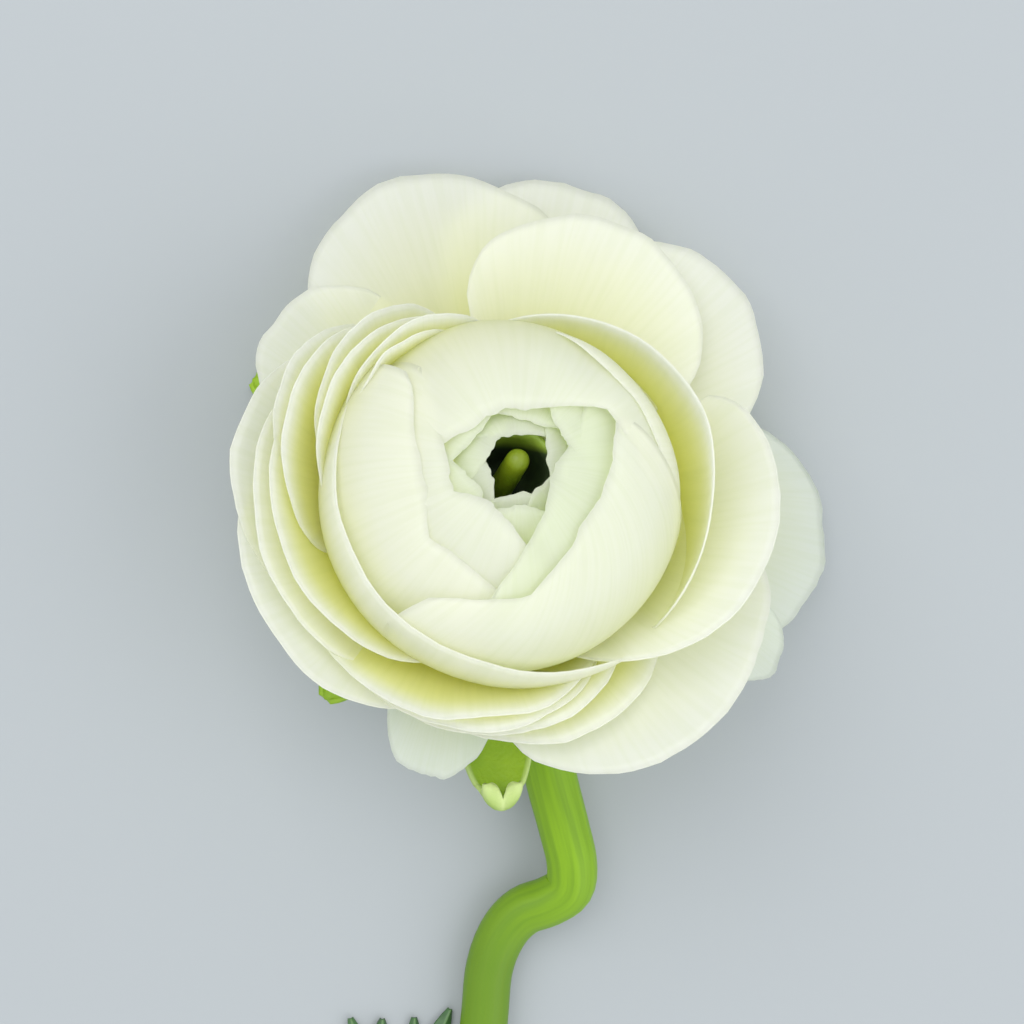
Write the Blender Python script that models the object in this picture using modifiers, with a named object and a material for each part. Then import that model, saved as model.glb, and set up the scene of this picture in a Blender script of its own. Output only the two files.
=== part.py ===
"""A cut ranunculus flower, lying on a flat surface with its bloom facing up.

The bloom has a frame of its own, in millimetres: its origin is the middle of the receptacle, its +Z is
the axis on which the bloom faces, and angles are counted counter-clockwise from +X, in degrees. The
bloom leans towards +Y and its stem leaves along -Y, on the surface z = 0.
"""

import math

import bmesh
import bpy
from mathutils import Matrix, Vector

MM = 0.001

SEAT_HEIGHT = 11.5
BLOOM_LEAN = 18
GAP = 0.3

PETAL_WALL = 0.7
SEPAL_WALL = 0.9
LEAF_WALL = 0.8
PETAL_COLUMNS = 7
PETAL_ROWS = 5
HEART_COLUMNS = 6
HEART_ROWS = 3

# The core that the petals stand out of, and the pit in its top that holds the pistil.
CORE_RADIUS = 16.5
CORE_BOTTOM = 1.4
CORE_TOP = 22.0
PIT_RADIUS = 4.2
PIT_BOTTOM = 13.0
PISTIL_RADIUS = 1.5
PISTIL_LENGTH = 10.5
PISTIL_PLACE = (-0.6, -0.9, PIT_BOTTOM + 2 * GAP)
PISTIL_LEAN = (-13, 8, 0)

RECEPTACLE_RADIUS = 4.6
RECEPTACLE_TOP = 1.0
RECEPTACLE_BOTTOM = -2.6

STEM_RADIUS = 2.75
STEM_SIDES = 12
STEM_STEP = 2.5

# Colour, roughness and metallic value of each node.
LOOKS = {
    "petals": ((0.84, 0.86, 0.72), 0.55, 0.0),
    "pistil": ((0.20, 0.29, 0.01), 0.45, 0.0),
    "calyx": ((0.22, 0.38, 0.03), 0.50, 0.0),
    "stem": ((0.20, 0.37, 0.03), 0.45, 0.0),
    "leaf": ((0.07, 0.18, 0.04), 0.55, 0.0),
}


def bezier(share, corners):
    """The point at share, from 0 to 1, of the cubic Bezier curve with these four corners."""
    rest = 1 - share
    weights = (rest ** 3, 3 * share * rest ** 2, 3 * share ** 2 * rest, share ** 3)
    return [sum(weight * corner[axis] for weight, corner in zip(weights, corners))
            for axis in range(len(corners[0]))]


def profile(foot, rim, rise, lean, full):
    """The corners of the curve that runs out from foot to rim, both (radius, height).

    It leaves the foot at the slope rise and reaches the rim at the slope lean, in degrees: 0 is flat
    outwards, 90 upright, and more than 90 closes over the bloom. full is how far it bulges.
    """
    handle = full * math.dist(foot, rim)
    rise = math.radians(rise)
    lean = math.radians(lean)
    near = (foot[0] + handle * math.cos(rise), foot[1] + handle * math.sin(rise))
    far = (rim[0] - handle * math.cos(lean), rim[1] - handle * math.sin(lean))
    return (foot, near, far, rim)


def petal(azimuth, spread, rim, rise, lean, foot=(4.0, 2.4), full=0.4,
          swirl=0.0, flare=0.0, arch=0.8, trim=0.45, wave=0.0):
    """A petal wrapped round the axis, as a function of u from -1 to 1 across it and v from 0 to 1 along it.

    azimuth is its middle and spread half of its width, and swirl and flare are how much further out its
    counter-clockwise side and both of its sides stand. arch is how far its sides hang below its middle,
    trim the share of its length that its corners lose, and wave the height of its rim's ruffles.
    """
    corners = profile(foot, rim, rise, lean, full)

    def point(u, v):
        share = v * (1 - trim * (1 - math.sqrt(max(0.0, 1 - u * u))))
        radius, height = bezier(share, corners)
        grown = share * (2 - share)
        radius += (swirl * u + flare * u * u) * grown
        radius += wave * math.sin(7 * u + azimuth) * share ** 3
        height += (0.6 * wave * math.cos(6 * u + azimuth) * share - arch * u * u) * share ** 2
        angle = math.radians(azimuth + spread * u * (0.5 + 0.5 * grown))
        return Vector((radius * math.cos(angle), radius * math.sin(angle), height))

    return point


def surface_height(azimuth, radius):
    """The height, in the bloom's frame, at which a sepal's tip touches the surface."""
    lean = math.radians(BLOOM_LEAN)
    outward = radius * math.sin(math.radians(azimuth))
    return (outward * math.sin(lean) + SEPAL_WALL / 2 - SEAT_HEIGHT) / math.cos(lean)


def sepal(azimuth, reach, width, lean, height=None):
    """A sepal that runs out under the petals, cupped lengthwise. Its tip rests unless given a height."""
    if height is None:
        height = surface_height(azimuth, reach)
    corners = profile((2.6, -0.9), (reach, height), -4, lean, 0.4)
    turn = Matrix.Rotation(math.radians(azimuth), 3, "Z")

    def point(u, v):
        radius, height = bezier(v, corners)
        half = width / 2 * (1 - v ** 3) ** 0.6 * (0.7 + 0.55 * v)
        return turn @ Vector((radius, u * half, height + 1.2 * u * u * v * (1 - v)))

    return point


# Old outer petals that have fallen back below the bloom.
FALLEN_PETALS = [
    petal(-5, 26, (42.2, -8.0), 4, -42),
    petal(-29, 11, (39.2, -1.5), 4, -46),
    petal(-105, 17, (32.4, 0.4), 0, -6),
]

# Wide open petals, lowest first.
OPEN_PETALS = [
    petal(73, 30, (39.6, 3.4), 14, -10),
    petal(101, 37, (39.7, 4.2), 18, -12, trim=0.5),
    petal(137, 28, (33.0, 7.4), 14, 12),
    petal(41, 32, (38.8, 6.6), 18, 2),
    petal(61, 39, (35.2, 10.0), 26, 4, trim=0.5),
    petal(-49, 46, (36.5, 12.2), 20, 34),
]

# Petals that stand round the ball like a cup, outermost first.
CUPPED_PETALS = [
    petal(171, 44, (30.4, 13.6), 4, 72, full=0.5),
    petal(209, 46, (31.2, 14.4), 4, 76, full=0.5),
    petal(-76, 46, (29.8, 14.2), 8, 66, full=0.5),
    petal(-101, 50, (28.6, 16.0), 6, 80, full=0.5),
    petal(195, 56, (28.6, 17.0), 4, 92, full=0.5),
    petal(-27, 52, (29.6, 18.4), 16, 62, swirl=4.6, full=0.5),
    petal(150, 52, (25.8, 18.0), 8, 92, full=0.5, swirl=-1.0),
    petal(136, 46, (22.6, 19.4), 10, 96, full=0.5, swirl=-1.5),
]

# The ball's own petals, which close over it.
BALL_PETALS = [
    petal(240, 68, (21.0, 22.0), 2, 112, full=0.62, swirl=1.6),
    petal(24, 74, (21.6, 22.6), 2, 108, full=0.62, swirl=-2.2, flare=-2.0),
    petal(-40, 66, (12.6, 25.6), 0, 146, full=0.72, flare=3.0, swirl=-2.0),
    petal(30, 60, (16.0, 23.8), 0, 126, full=0.66, flare=-1.0),
    petal(170, 58, (11.2, 25.8), 0, 148, full=0.70),
    petal(100, 58, (9.6, 26.2), 0, 152, full=0.66),
    petal(-110, 58, (12.6, 26.2), 0, 146, full=0.70),
    petal(215, 52, (9.6, 26.6), 0, 150, full=0.68),
]

HEART_COUNT = 8
HEART_TURN = 137.5

# Three of the five sepals carry the bloom on the surface, and two stand clear above the stem.
SEPALS = [
    sepal(147, 30.0, 9.5, -30),
    sepal(10, 25.0, 9.5, -34),
    sepal(75, 23.0, 9.5, -24),
    sepal(228, 28.0, 9.0, -20, height=-5.5),
    sepal(271, 34.2, 10.0, 12, height=-3.6),
]

# The stem's route, from the neck under the bloom to the cut end, with the thickness at each point as a
# share of the full one. It is measured from the point of the surface below the bloom's seat, and where
# it lies on the surface its height is its own radius.
STEM_ROUTE = [
    ((0.0, -1.0, 8.4), 1.1),
    ((0.7, -3.4, 5.2), 1.1),
    ((2.4, -8.0, 3.5), 1.1),
    ((5.6, -19.0, 3.6), 1.1),
    ((8.6, -33.0, 4.7), 1.08),
    ((10.2, -39.5, 5.4), 1.06),
    ((11.2, -44.0, 5.6), 1.05),
    ((10.9, -47.2, 5.2), 1.05),
    ((8.6, -49.0, 4.4), 1.05),
    ((5.6, -50.3, 3.5), 1.05),
    ((3.2, -53.0, 3.0), 1.03),
    ((1.5, -57.5, 0), 1.0),
    ((0.8, -64.5, 0), 1.0),
    ((-0.8, -76.0, 0), 1.02),
    ((-2.6, -90.0, 0), 1.12),
    ((-2.4, -104.0, 0), 1.0),
    ((1.0, -122.0, 0), 1.0),
    ((5.0, -138.0, 0), 1.0),
]

# The leaf's three leaflets, each a rib from the leaf's base to its tip with teeth along it, and the
# stalk that they stand on.
LEAF_BASE = (-6.3, -91.0)
LEAF_FORK = (-9.6, -83.0)
LEAFLET_TIPS = [(-8.6, -62.4), (-16.8, -62.8), (-27.6, -75.0)]
RIB_WIDTH = 4.4
TOOTH_WIDTH = 3.0
TEETH = [(0.30, 1, 9.0), (0.38, -1, 9.0), (0.56, 1, 7.5), (0.62, -1, 7.0)]


def heart():
    """The small petals round the eye, each a golden angle on from the last and closer in."""
    petals = []
    for index in range(HEART_COUNT):
        inward = index / (HEART_COUNT - 1)
        rim = (9.6 - 5.2 * inward, 26.6 - 0.4 * inward)
        petals.append(petal(20 + index * HEART_TURN, 60, rim, 30, 130 - 30 * inward,
                            foot=(6.0, 15.0), full=0.45, wave=0.3, trim=0.3))
    return petals


def smooth_route(stops, step):
    """Points about a step apart on a smooth curve through the stops, each a tuple of numbers."""
    points = []
    for index in range(len(stops) - 1):
        before = stops[max(index - 1, 0)]
        start, end = stops[index], stops[index + 1]
        after = stops[min(index + 2, len(stops) - 1)]
        pieces = max(1, round(math.dist(start[:3], end[:3]) / step))
        for piece in range(pieces):
            share = piece / pieces
            points.append([
                0.5 * (2 * b + (c - a) * share + (2 * a - 5 * b + 4 * c - d) * share ** 2
                       + (3 * b - a - 3 * c + d) * share ** 3)
                for a, b, c, d in zip(before, start, end, after)])
    points.append(list(stops[-1]))
    return points


def collection_named(name):
    collection = bpy.data.collections.new(name)
    bpy.context.scene.collection.children.link(collection)
    return collection


def add_object(name, data, collection):
    thing = bpy.data.objects.new(name, data)
    collection.objects.link(thing)
    return thing


def mesh_from(name, work):
    mesh = bpy.data.meshes.new(name)
    work.to_mesh(mesh)
    work.free()
    return mesh


def sheet(name, point, columns, rows, wall, collection):
    """A closed sheet of this wall, in millimetres, whose middle passes through point(u, v)."""
    work = bmesh.new()
    bmesh.ops.create_grid(work, x_segments=columns, y_segments=rows, size=1)
    for vertex in work.verts:
        vertex.co = point(vertex.co.x, (vertex.co.y + 1) / 2) * MM
    bmesh.ops.triangulate(work, faces=work.faces, quad_method="FIXED")
    thing = add_object(name, mesh_from(name, work), collection)
    solid = thing.modifiers.new("wall", "SOLIDIFY")
    solid.thickness = wall * MM
    solid.offset = 0
    return thing


def turned(name, outline, sides, collection):
    """A solid of revolution whose outline, (radius, height) in millimetres, runs down its outer side."""
    work = bmesh.new()
    previous = None
    for radius, height in outline:
        vertex = work.verts.new((radius * MM, 0, height * MM))
        if previous:
            work.edges.new((previous, vertex))
        previous = vertex
    thing = add_object(name, mesh_from(name, work), collection)
    screw = thing.modifiers.new("turn", "SCREW")
    screw.steps = sides
    screw.render_steps = sides
    screw.use_merge_vertices = True
    screw.merge_threshold = 0.00001
    return thing


def keep_outer_body(mesh):
    """Fills the hollows that the union sealed and drops its loose scraps: only the widest skin stays."""
    work = bmesh.new()
    work.from_mesh(mesh)
    skins = []
    unseen = set(work.verts)
    while unseen:
        skin = set()
        front = {unseen.pop()}
        while front:
            skin |= front
            unseen -= front
            front = {edge.other_vert(vertex) for vertex in front for edge in vertex.link_edges} - skin
        skins.append(skin)

    def width(skin):
        across = [vertex.co.x for vertex in skin]
        return max(across) - min(across)

    widest = max(skins, key=width)
    bmesh.ops.delete(work, geom=[vertex for vertex in work.verts if vertex not in widest], context="VERTS")
    work.to_mesh(mesh)
    work.free()


def joined(name, parts, home):
    """One solid made of everything in a collection, which is emptied."""
    base = parts.objects[0]
    parts.objects.unlink(base)
    bpy.context.scene.collection.objects.link(base)
    union = base.modifiers.new("union", "BOOLEAN")
    union.operation = "UNION"
    union.operand_type = "COLLECTION"
    union.collection = parts
    union.solver = "MANIFOLD"
    bpy.context.view_layer.update()
    mesh = bpy.data.meshes.new_from_object(base.evaluated_get(bpy.context.evaluated_depsgraph_get()))
    for thing in list(parts.objects) + [base]:
        bpy.data.objects.remove(thing)
    bpy.data.collections.remove(parts)
    keep_outer_body(mesh)
    return add_object(name, mesh, home)


def core_outline():
    """The outer and the pit's outline of the core, a squat ball that the petals stand out of."""
    middle = (CORE_TOP + CORE_BOTTOM) / 2
    half = (CORE_TOP - CORE_BOTTOM) / 2
    outline = [(0, PIT_BOTTOM), (PIT_RADIUS * 0.8, PIT_BOTTOM)]
    steps = 7
    start = math.acos(PIT_RADIUS / CORE_RADIUS)
    for step in range(steps):
        angle = start - (start + math.pi / 2) * step / steps
        outline.append((CORE_RADIUS * math.cos(angle), middle + half * math.sin(angle)))
    outline.append((0, CORE_BOTTOM))
    return outline


def make_petals(home):
    parts = collection_named("petal sheets")
    turned("core", core_outline(), 16, parts)
    rings = FALLEN_PETALS + OPEN_PETALS + CUPPED_PETALS + BALL_PETALS
    for index, point in enumerate(rings):
        sheet(f"petal {index}", point, PETAL_COLUMNS, PETAL_ROWS, PETAL_WALL, parts)
    for index, point in enumerate(heart()):
        sheet(f"heart petal {index}", point, HEART_COLUMNS, HEART_ROWS, PETAL_WALL, parts)
    return joined("petals", parts, home)


def make_pistil(home):
    """The pistil, a blunt thumb that leans in the eye."""
    rounding = [(PISTIL_RADIUS * math.sin(math.radians(angle)), PISTIL_RADIUS * math.cos(math.radians(angle)))
                for angle in (0, 30, 60, 90)]
    outline = [(radius, PISTIL_LENGTH - PISTIL_RADIUS + height) for radius, height in rounding]
    outline += [(PISTIL_RADIUS, 0), (0, 0)]
    pistil = turned("pistil", outline, 12, home)
    pistil.location = Vector(PISTIL_PLACE) * MM
    pistil.rotation_euler = [math.radians(angle) for angle in PISTIL_LEAN]
    return pistil


def make_calyx(home):
    parts = collection_named("calyx pieces")
    half = (RECEPTACLE_TOP - RECEPTACLE_BOTTOM) / 2
    steps = 6
    outline = [(RECEPTACLE_RADIUS * math.sin(math.pi * step / steps),
                RECEPTACLE_BOTTOM + half * (1 + math.cos(math.pi * step / steps)))
               for step in range(steps + 1)]
    turned("receptacle", outline, 14, parts)
    for index, point in enumerate(SEPALS):
        sheet(f"sepal {index}", point, 4, 7, SEPAL_WALL, parts)
    return joined("calyx", parts, home)


def make_stem(home):
    curve = bpy.data.curves.new("stem", "CURVE")
    curve.dimensions = "3D"
    curve.bevel_depth = STEM_RADIUS * MM
    curve.bevel_resolution = (STEM_SIDES - 4) // 2
    curve.use_fill_caps = True
    stops = [(x, y, max(z, STEM_RADIUS * thickness), thickness) for (x, y, z), thickness in STEM_ROUTE]
    route = smooth_route(stops, STEM_STEP)
    spline = curve.splines.new("POLY")
    spline.points.add(len(route) - 1)
    for dot, (x, y, z, thickness) in zip(spline.points, route):
        dot.co = (x * MM, y * MM, z * MM, 1)
        dot.radius = thickness
    return add_object("stem", curve, home)


def lobe(start, tip, width, lift):
    """A pointed lobe that lies along the surface, arched along its rib and lifted by this at its middle."""
    along = Vector(tip) - Vector(start)
    across = Vector((-along.y, along.x)).normalized()

    def point(u, v):
        half = width / 2 * (0.5 + 1.1 * v) * (1 - v ** 2.4)
        place = Vector(start) + along * v + across * u * half
        return Vector((place.x, place.y, LEAF_WALL * 0.6 + 0.6 * (1 - abs(u)) + lift * v * (1 - v)))

    return point


def make_leaf(home):
    parts = collection_named("leaf lobes")
    lobes = [lobe(LEAF_BASE, LEAF_FORK, RIB_WIDTH, 0.4)]
    for index, tip in enumerate(LEAFLET_TIPS):
        base = Vector(LEAF_BASE).lerp(Vector(LEAF_FORK), 0.7)
        rib = Vector(tip) - base
        lobes.append(lobe(base, tip, RIB_WIDTH, 3.0 + index))
        for share, side, length in TEETH:
            root = base + rib * share
            slant = Matrix.Rotation(side * math.radians(34), 2) @ rib.normalized()
            lobes.append(lobe(root, root + slant * length, TOOTH_WIDTH, 1.2))
    for index, point in enumerate(lobes):
        sheet(f"lobe {index}", point, 2, 5, LEAF_WALL, parts)
    return joined("leaf", parts, home)


def rest_on_origin(root, things):
    """Moves the root so that the middle of the flower's box is above the origin and its lowest point at 0."""
    bpy.context.view_layer.update()
    seen = bpy.context.evaluated_depsgraph_get()
    corners = []
    for thing in things:
        mesh = thing.evaluated_get(seen).to_mesh()
        corners += [thing.matrix_world @ vertex.co for vertex in mesh.vertices]
    low = [min(corner[axis] for corner in corners) for axis in range(3)]
    high = [max(corner[axis] for corner in corners) for axis in range(3)]
    root.location = (-(low[0] + high[0]) / 2, -(low[1] + high[1]) / 2, -low[2])


def paint(thing):
    colour, roughness, metallic = LOOKS[thing.name]
    material = bpy.data.materials.new(thing.name)
    material.use_nodes = True
    shader = material.node_tree.nodes["Principled BSDF"]
    shader.inputs["Base Color"].default_value = (*colour, 1)
    shader.inputs["Roughness"].default_value = roughness
    shader.inputs["Metallic"].default_value = metallic
    thing.data.materials.clear()
    thing.data.materials.append(material)


def main():
    for thing in list(bpy.data.objects):
        bpy.data.objects.remove(thing)
    home = collection_named("ranunculus")
    root = add_object("root", None, home)
    bloom = add_object("bloom", None, home)
    bloom.parent = root
    bloom.location = (0, 0, SEAT_HEIGHT * MM)
    bloom.rotation_euler = (-math.radians(BLOOM_LEAN), 0, 0)
    petals = make_petals(home)
    pistil = make_pistil(home)
    calyx = make_calyx(home)
    for thing in (petals, pistil, calyx):
        thing.parent = bloom
    stem = make_stem(home)
    leaf = make_leaf(home)
    for thing in (stem, leaf):
        thing.parent = root
    things = (petals, pistil, calyx, stem, leaf)
    for thing in things:
        paint(thing)
    rest_on_origin(root, things)


if __name__ == "__main__":
    main()
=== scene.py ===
"""The finished look of a cut ranunculus flower, laid out as a Blender add-on.

Every operator makes one piece, or a group of like pieces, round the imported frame. Lengths in the shape
functions are millimetres. The bloom's own frame has its origin in the middle of the receptacle and +Z
on the axis on which the bloom faces, and angles are counted counter-clockwise from +X, in degrees.
"""

import math

import bmesh
import bpy
from mathutils import Matrix, Vector, noise


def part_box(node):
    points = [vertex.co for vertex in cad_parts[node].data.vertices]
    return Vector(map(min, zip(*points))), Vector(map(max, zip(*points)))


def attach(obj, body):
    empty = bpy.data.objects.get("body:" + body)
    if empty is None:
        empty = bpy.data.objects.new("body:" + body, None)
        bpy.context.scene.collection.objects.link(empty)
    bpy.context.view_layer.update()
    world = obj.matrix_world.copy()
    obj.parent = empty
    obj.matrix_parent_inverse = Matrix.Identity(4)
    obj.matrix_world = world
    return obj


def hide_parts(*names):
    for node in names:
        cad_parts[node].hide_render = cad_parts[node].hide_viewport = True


bl_info = {
    "name": "Ranunculus flower",
    "version": (1, 0, 0),
    "blender": (4, 5, 0),
    "location": "3D View > Sidebar > Ranunculus",
    "description": "Petals, heart, calyx, stem and leaf of a cut ranunculus flower",
    "category": "Add Mesh",
}

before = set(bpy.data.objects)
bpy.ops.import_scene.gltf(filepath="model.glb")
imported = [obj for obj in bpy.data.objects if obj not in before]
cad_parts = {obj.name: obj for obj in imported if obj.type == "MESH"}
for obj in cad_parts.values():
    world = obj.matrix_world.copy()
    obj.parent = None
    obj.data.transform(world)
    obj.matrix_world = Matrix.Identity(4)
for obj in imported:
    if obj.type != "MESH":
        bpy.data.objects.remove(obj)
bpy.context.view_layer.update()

MM = 0.001
BODY = "root"

# The bloom's seat, from the low corner of the stem's box, and the bloom's lean to +Y.
SEAT_FROM_STEM = Vector((5.80, 138.68, 11.51))
SEAT = Vector(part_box("stem")[0]) / MM + SEAT_FROM_STEM
BLOOM_LEAN = math.radians(18)
BLOOM = Matrix.Translation(SEAT) @ Matrix.Rotation(-BLOOM_LEAN, 4, "X")
GROUND = Matrix.Translation((SEAT.x, SEAT.y, 0))
# How far above the seat, on the bloom's axis, the place is that the lamps point at.
EYE_HEIGHT = 27.5


# ---------------------------------------------------------------------------------------------------
# Shapes


def bezier(share, corners):
    """The point at share, from 0 to 1, of the cubic Bezier curve with these four corners."""
    rest = 1 - share
    weights = (rest ** 3, 3 * share * rest ** 2, 3 * share ** 2 * rest, share ** 3)
    return [sum(weight * corner[axis] for weight, corner in zip(weights, corners))
            for axis in range(len(corners[0]))]


def opening_profile(foot, rim, rise, lean, full):
    """The corners of a curve from foot to rim, both (radius, height), with its slopes in degrees."""
    handle = full * math.dist(foot, rim)
    rise = math.radians(rise)
    lean = math.radians(lean)
    near = (foot[0] + handle * math.cos(rise), foot[1] + handle * math.sin(rise))
    far = (rim[0] - handle * math.cos(lean), rim[1] - handle * math.sin(lean))
    return (foot, near, far, rim)


def closing_profile(foot, rim, belly, drop):
    """The corners of a curve that swells to the radius belly and closes over to rim, drop below its top."""
    reach = (belly - (foot[0] + rim[0]) / 8) / 0.75
    return (foot, (reach, foot[1]), (reach, rim[1] - drop), rim)


# How far round from its middle a straight rim stays straight, and how fast the ball's top falls off.
CHORD_REACH = math.radians(72)
CROWN = 0.012
# How ragged a rim is, coarsely and finely, as shares of the petal's length, and where a rim starts to curl.
COARSE_RAGS = 0.012
FINE_RAGS = 0.006
CURL_START = 0.82


class Petal:
    """One petal, wrapped round the bloom's axis.

    azimuth is its middle and spread half of its width. foot and rim are (radius, height) of its ends. With
    a belly it swells to that radius and closes over, as in closing_profile, and without one it opens, as
    in opening_profile. swirl and flare are how much further out its counter-clockwise side and both its
    sides stand, tilt is how much higher the counter-clockwise one is, and arch how far both hang below its
    middle. crumple is the depth of its dents, and ragged how ragged its rim is, with 1 as the usual amount.
    trim is the share of its length that its corners lose, wave the height of its rim's ruffles, and
    curl how far its rim rolls outwards. A petal with chords has a rim of nearly straight stretches, each
    given as (azimuth, distance) of the place where it comes nearest to the axis; bend is how straight they
    are, from 0 for round to 1. twist is how far the upper end of its counter-clockwise side turns from its
    foot.
    """

    def __init__(self, azimuth, spread, rim, rise=0, lean=0, foot=(4.0, 2.4), full=0.4, belly=None,
                 drop=3.0, swirl=0.0, flare=0.0, arch=0.8, trim=0.45, wave=0.25, curl=0.0, tilt=0.0,
                 crumple=0.35, ragged=1.0, chords=(), bend=0.8, twist=0.0):
        self.azimuth = math.radians(azimuth)
        self.spread = math.radians(spread)
        self.seed = azimuth * 0.37 + rim[0] * 1.3
        self.rim_radius = rim[0]
        if belly:
            self.corners = closing_profile(foot, rim, belly, drop)
        else:
            self.corners = opening_profile(foot, rim, rise, lean, full)
        self.swirl = swirl
        self.flare = flare
        self.arch = arch
        self.trim = trim
        self.wave = wave
        self.curl = curl
        self.tilt = tilt
        self.crumple = crumple
        self.ragged = ragged
        self.chords = [(math.radians(turn), distance) for turn, distance in chords]
        self.bend = bend
        self.twist = math.radians(twist)
        self.widest = 0.94 * belly if belly else None

    def point(self, u, v):
        """The point at u from -1 to 1 across the petal and v from 0 to 1 along it."""
        ragged = COARSE_RAGS * noise.noise(Vector((3.5 * u, self.seed, 0)))
        ragged += FINE_RAGS * noise.noise(Vector((12 * u, self.seed, 5)))
        corner = self.trim * (1 - math.sqrt(max(0.0, 1 - u * u)))
        share = v * (1 - corner + self.ragged * ragged)
        radius, height = bezier(share, self.corners)
        grown = share * (2 - share)
        angle = self.azimuth + self.spread * u * (0.5 + 0.5 * grown)
        angle += self.twist * (0.65 + 0.35 * u) * share ** 4
        radius += (self.swirl * u + self.flare * u * u) * grown
        height += (self.tilt * u - self.arch * u * u) * share ** 2
        if self.chords:
            straight = self.widest
            for turn, distance in self.chords:
                off = min(abs((angle - turn + math.pi) % math.tau - math.pi), CHORD_REACH)
                straight = min(straight, distance * math.cos(off) ** -self.bend)
            radius += (straight - self.rim_radius) * share ** 4
            height -= CROWN * (straight ** 2 - self.rim_radius ** 2) * share ** 4
        ruffle = noise.noise(Vector((3.2 * u, self.seed, 0.6 * share))) * share ** 4
        radius += 1.6 * self.wave * ruffle
        height += self.wave * noise.noise(Vector((3.0 * u, self.seed, 9))) * share ** 4
        dent = noise.noise(Vector((1.6 * u, 2.2 * share, self.seed)))
        radius += self.crumple * dent * grown
        radius += self.curl * max(0.0, (share - CURL_START) / (1 - CURL_START)) ** 2
        return Vector((radius * math.cos(angle), radius * math.sin(angle), height))


# Old outer petals that have fallen back below the bloom.
FALLEN_PETALS = [
    Petal(-5, 26, (42.2, -8.0), 4, -42),
    Petal(-29, 11, (39.2, -1.5), 4, -46),
    Petal(-105, 17, (32.4, 0.4), 0, -6),
]

# Wide open petals, roughly from the lowest up.
OPEN_PETALS = [
    Petal(73, 30, (39.6, 3.4), 14, -10),
    Petal(101, 37, (39.7, 4.2), 18, -12, trim=0.5),
    Petal(137, 28, (33.0, 7.4), 14, 12, trim=0.6),
    Petal(41, 32, (38.8, 6.6), 18, 2),
    Petal(61, 39, (35.2, 10.0), 26, 4, trim=0.5),
    Petal(-49, 46, (36.5, 12.2), 20, 34),
    Petal(171, 44, (30.4, 13.2), 4, 52, full=0.5, curl=0.3),
    Petal(209, 46, (31.2, 14.0), 4, 56, full=0.5, curl=0.3),
    Petal(188, 54, (28.4, 14.8), 4, 60, full=0.5, swirl=0.4, curl=0.3),
    Petal(-25, 54, (30.2, 18.4), 16, 58, swirl=5.6, full=0.5, flare=-0.8, curl=0.3),
]

# Petals that stand round the ball like a cup: four over the stem, one at -X and six between -X and +Y.
# The four and the six go from the outside in.
CUPPED_PETALS = [
    Petal(-75, 46, (29.4, 11.6), 8, 46, full=0.5, swirl=-0.8, curl=0.3),
    Petal(-85, 44, (27.8, 13.4), 8, 52, full=0.5, swirl=-3.0, curl=0.3),
    Petal(-93, 42, (27.6, 14.5), 6, 56, full=0.5, swirl=-3.2, flare=0.6, curl=0.3),
    Petal(-100, 50, (27.0, 15.6), 6, 60, full=0.5, swirl=-3.2, flare=1.2, curl=0.3),
    Petal(196, 64, (26.2, 15.8), 4, 62, full=0.5, swirl=-1.6, flare=-1.0, curl=0.3),
    Petal(152, 34, (27.4, 16.6), 8, 58, full=0.5, swirl=-0.4, flare=0.6, trim=0.55, curl=0.3),
    Petal(157, 46, (25.6, 17.8), 6, 64, full=0.5, swirl=-0.4, flare=0.6, trim=0.5, curl=0.3),
    Petal(140, 40, (23.8, 18.8), 8, 68, full=0.5, swirl=-0.8, flare=0.4, trim=0.5, curl=0.2),
    Petal(145, 48, (22.2, 19.8), 8, 72, full=0.5, swirl=0.4, curl=0.2),
    Petal(126, 42, (20.4, 20.4), 8, 78, full=0.5, swirl=0.4, curl=0.1),
    Petal(132, 34, (19.2, 20.8), 8, 82, full=0.5, curl=0.1),
]

# The two broad petals that hold the ball.
COLLAR_PETALS = [
    Petal(220, 92, (19.8, 21.4), 2, 110, full=0.6, swirl=2.4, flare=0.5, trim=0.3, curl=0.4),
    Petal(24, 74, (21.3, 22.7), 2, 110, full=0.62, swirl=-2.9, flare=-2.7, trim=0.35, curl=0.9),
]

# The ball's own petals, which close over it, innermost first.
BALL_PETALS = [
    Petal(21, 52, (16.6, 22.7), belly=18.7, swirl=-1.5, tilt=2.2, arch=2.0, trim=0.3),
    Petal(82, 92, (6.2, 26.0), belly=18.9, chords=((95, 6.2), (146, 4.6)), trim=0.15, tilt=-0.5),
    Petal(206, 80, (6.0, 26.0), belly=19.1, chords=((180, 7.3), (268, 3.9)), trim=0.15, swirl=0.8, tilt=1.0),
    Petal(200, 66, (10.6, 24.9), belly=20.0, chords=((178, 10.0), (250, 11.0)), trim=0.12, tilt=0.2),
    Petal(-78, 60, (9.6, 26.0), belly=20.9, chords=((-25, 9.6), (38, 10.8), (-97, 14.2)), bend=0.55,
          trim=0.08, twist=60),
]

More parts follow.
